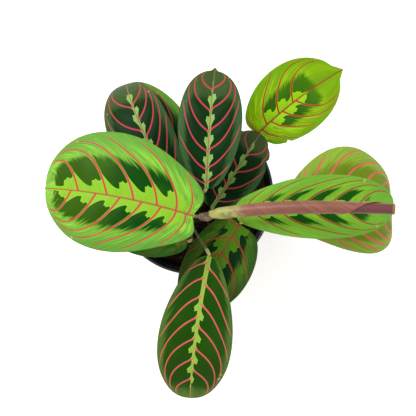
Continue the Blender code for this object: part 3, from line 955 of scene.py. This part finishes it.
def build_pot():
    """Tapered wall, stepped rim band, rolled lip, ribbed inside and drain holes."""
    band = POT_HEIGHT - RIM_BAND
    profile = [(0, FOOT_LIFT), (FOOT_RADIUS - 6 * MM, FOOT_LIFT), (FOOT_RADIUS - 5 * MM, 0),
               (FOOT_RADIUS - 1.2 * MM, 0), (FOOT_RADIUS - 0.3 * MM, 0.4 * MM),
               (FOOT_RADIUS, 1.4 * MM)]
    profile += [(wall_radius(height), height) for height in np.linspace(4 * MM, band, 8)]
    profile += [(RIM_RADIUS - 0.9 * MM, band + 0.2 * MM), (RIM_RADIUS - 0.6 * MM, band + 0.8 * MM)]
    for angle in np.linspace(0, math.pi, LIP_STEPS):
        profile.append((RIM_RADIUS - LIP + LIP * math.cos(angle),
                        POT_HEIGHT - LIP + LIP * math.sin(angle)))
    ribs = np.linspace(POT_HEIGHT - RIB_SPARE, SOIL_TOP - RIB_SPARE, RIBS * RIB_STEPS + 1)
    for index, height in enumerate(ribs):
        rib = RIB_DEPTH * (0.5 - 0.5 * math.cos(2 * math.pi * index / RIB_STEPS))
        profile.append((wall_radius(height) - WALL - rib, height))
    profile += [(wall_radius(FLOOR) - WALL, FLOOR), (0, FLOOR)]
    pot = turned("nursery_pot", profile, POT_SEGMENTS, pot_material())
    for x, y in circle(DRAIN_HOLES):
        bpy.ops.mesh.primitive_cylinder_add(
            vertices=DRAIN_SIDES, radius=DRAIN_RADIUS, depth=4 * FLOOR,
            location=(DRAIN_RING * x, DRAIN_RING * y, FLOOR / 2))
        cutter = bpy.context.object
        cut = pot.modifiers.new("drain", "BOOLEAN")
        cut.operation = "DIFFERENCE"
        cut.solver = "EXACT"
        cut.object = cutter
        bpy.context.view_layer.objects.active = pot
        bpy.ops.object.modifier_apply(modifier=cut.name)
        bpy.data.objects.remove(cutter, do_unlink=True)
    place(pot, "pot", "pot")


# ---- soil
SOIL_RINGS = 70
SOIL_SEGMENTS = 180
SOIL_LUMP = 1.6 * MM
SOIL_GRAIN = 0.5 * MM
SOIL_HEAP = 9 * MM
HEAP_FROM = 30 * MM
HEAP_TO = 54 * MM
# The loose bits: their piece and material names, two colours, how many, their sizes in
# millimetres, and how they are stretched along X, Y and Z
CRUMBS = (
    ("soil_crumbs", "crumb_dark", (30, 22, 18), (66, 46, 34), 420, (0.7, 1.9),
     (1, 0.9, 0.75)),
    ("bark_chips", "crumb_bark", (112, 66, 36), (168, 112, 66), 180, (0.9, 2.2),
     (1.3, 0.7, 0.45)),
    ("soil_fibres", "crumb_fibre", (140, 92, 54), (182, 134, 86), 180, (1.6, 3.8),
     (1, 0.07, 0.07)),
)
CRUMB_SEED = 11
CRUMB_MARGIN = 4 * MM
CRUMB_TILT = 0.5
CRUMB_ROUGH = 0.45


def soil_height(x, y):
    """The soil's lumpy top, heaped towards the right-hand side of the pot."""
    spot = Vector((x, y, 0))
    lumps = noise.fractal(spot * 130, 0.9, 2.1, 5) * SOIL_LUMP
    grains = noise.noise(spot * 900) * SOIL_GRAIN
    heap = SOIL_HEAP * ease(HEAP_FROM, HEAP_TO, x + 0.25 * y)
    return SOIL_TOP + lumps + grains + float(heap)


def soil_material():
    g = Graph("soil")
    lumps = g.noise(g.place(), 520.0, 6.0, 0.7)
    flecks = g.noise(g.place(), 1500.0, 2.0)
    colour = g.mix(g.step(lumps, 0.4, 0.66), tone((26, 18, 15)), tone((84, 54, 36)))
    colour = g.mix(g.step(flecks, 0.62, 0.7), colour, tone((134, 92, 58)))
    g.bump(lumps, 0.9, 0.0015)
    return g.finish(colour, 0.9, 0.2)


def build_soil():
    """Rings out to the pot's wall, which is wider where the soil is higher, and a flat base."""
    edge = wall_radius(SOIL_TOP) - WALL - 2 * SEAT
    bottom = FLOOR + SEAT
    bm = bmesh.new()
    centre = bm.verts.new((0, 0, soil_height(0, 0)))
    levels = []
    for ring in range(1, SOIL_RINGS + 1):
        line = []
        for cosine, sine in circle(SOIL_SEGMENTS):
            x, y = edge * cosine, edge * sine
            limit = wall_radius(soil_height(x, y)) - WALL - 2 * SEAT
            share = ring / SOIL_RINGS * limit / edge
            line.append(bm.verts.new((x * share, y * share, soil_height(x * share, y * share))))
        levels.append(line)
    foot = wall_radius(bottom) - WALL - SEAT
    levels.append([bm.verts.new((foot * x, foot * y, bottom)) for x, y in circle(SOIL_SEGMENTS)])
    base = bm.verts.new((0, 0, bottom))
    for step in range(SOIL_SEGMENTS):
        after = (step + 1) % SOIL_SEGMENTS
        bm.faces.new((centre, levels[0][step], levels[0][after]))
        bm.faces.new((base, levels[-1][after], levels[-1][step]))
        for near, far in zip(levels, levels[1:]):
            bm.faces.new((near[step], far[step], far[after], near[after]))
    for face in bm.faces:
        face.smooth = True
    place(as_piece("potting_soil", bm, soil_material()), "soil", "soil")


def crumb_material(name, first, second):
    g = Graph(name)
    mottle = g.noise(g.place(), 700.0, 4.0)
    colour = g.mix(g.step(mottle, 0.38, 0.66), tone(first), tone(second))
    g.bump(mottle, 0.7, 0.0006)
    return g.finish(colour, 0.85, 0.2)


def scatter(name, count, sizes, shape, material, draw):
    """Rough chips lying on the soil, in one mesh."""
    bm = bmesh.new()
    reach = wall_radius(SOIL_TOP) - WALL - CRUMB_MARGIN
    for _ in range(count):
        radius = reach * math.sqrt(draw.random())
        angle = draw.uniform(0, 2 * math.pi)
        x, y = radius * math.cos(angle), radius * math.sin(angle)
        size = draw.uniform(*[part * MM for part in sizes])
        turn = Matrix.Rotation(draw.uniform(0, 2 * math.pi), 4, "Z")
        tilt = Matrix.Rotation(draw.uniform(-CRUMB_TILT, CRUMB_TILT), 4, "X")
        stretch = Matrix.Diagonal((*[size * part for part in shape], 1))
        spot = Matrix.Translation((x, y, soil_height(x, y) + size * shape[2] * 0.4))
        chip = bmesh.ops.create_icosphere(bm, subdivisions=2, radius=1,
                                          matrix=spot @ turn @ tilt @ stretch)
        offset = Vector((draw.random(), draw.random(), draw.random())) * 50
        centre = spot.to_translation()
        for vert in chip["verts"]:
            rough = noise.noise(vert.co * 700 + offset)
            vert.co = centre + (vert.co - centre) * (1 + CRUMB_ROUGH * rough)
    place(as_piece(name, bm, material), "soil")


def build_crumbs():
    draw = random.Random(CRUMB_SEED)
    for name, look, first, second, count, sizes, shape in CRUMBS:
        scatter(name, count, sizes, shape, crumb_material(look, first, second), draw)


# ---- stage
CAMERA_SPOT = (11 * MM, -10.3 * MM, 655 * MM)
CAMERA_LENS = 63.7
CAMERA_NEAR = 0.01
STAGE_SIZE = 40
STAGE_DROP = 0.5 * MM
STAGE_GLOW = 0.34
STAGE_GLOW_TINT = (1, 0.97, 0.92, 1)
WORLD_LIGHT = 0.7
LIGHTS = {
    "key": dict(spot=(-0.45, 0.5, 0.95), aim=(0.02, 0, 0.12), size=0.5, energy=9),
    "fill": dict(spot=(0.6, -0.5, 0.9), aim=(0, 0, 0.12), size=0.9, energy=3),
}


def add_light(name, spot, aim, size, energy):
    light = add_object(name, bpy.data.lights.new(name, "AREA"))
    light.data.size = size
    light.data.energy = energy
    light.location = spot
    way = Vector(aim) - Vector(spot)
    light.rotation_euler = way.to_track_quat("-Z", "Y").to_euler()


def build_stage():
    """A pale floor that glows a little, the camera, and soft light from two sides."""
    bpy.ops.mesh.primitive_plane_add(size=STAGE_SIZE, location=(0, 0, -STAGE_DROP))
    floor = bpy.context.object
    floor.name = "floor"
    g = Graph("floor")
    shade = g.noise(g.place(), 3.0, 2.0)
    colour = g.mix(shade, tone((252, 252, 250), gain=1), tone((255, 255, 253), gain=1))
    g.shader.inputs["Emission Color"].default_value = STAGE_GLOW_TINT
    g.shader.inputs["Emission Strength"].default_value = STAGE_GLOW
    floor.data.materials.append(g.finish(colour, 0.9, 0.1))

    camera = add_object("camera", bpy.data.cameras.new("camera"))
    camera.data.lens = CAMERA_LENS
    camera.data.clip_start = CAMERA_NEAR
    camera.location = CAMERA_SPOT
    bpy.context.scene.camera = camera

    world = bpy.data.worlds.new("studio")
    world.use_nodes = True
    background = world.node_tree.nodes["Background"].inputs
    background["Color"].default_value = (1, 1, 1, 1)
    background["Strength"].default_value = WORLD_LIGHT
    bpy.context.scene.world = world
    for name, light in LIGHTS.items():
        add_light(name, **light)
    bpy.context.scene.view_settings.view_transform = "Standard"


# ---- build
def main():
    build_stage()
    materials = {name: leaf_material(f"leaf_{name}", dict(PLAIN_LOOK, **look))
                 for name, look in LOOKS.items()}
    materials["underside"] = underside_material()
    stalk = stalk_material()
    for number, (name, own) in enumerate(LEAVES.items()):
        spec = dict(PLAIN_LEAF, **own)
        base = leaf_base(name, spec)
        build_blade(name, spec, base, number + 1, materials)
        build_stalk(name, spec, base, stalk)
    build_stem()
    build_node()
    build_rolled_leaf()
    build_pot()
    build_soil()
    build_crumbs()


main()
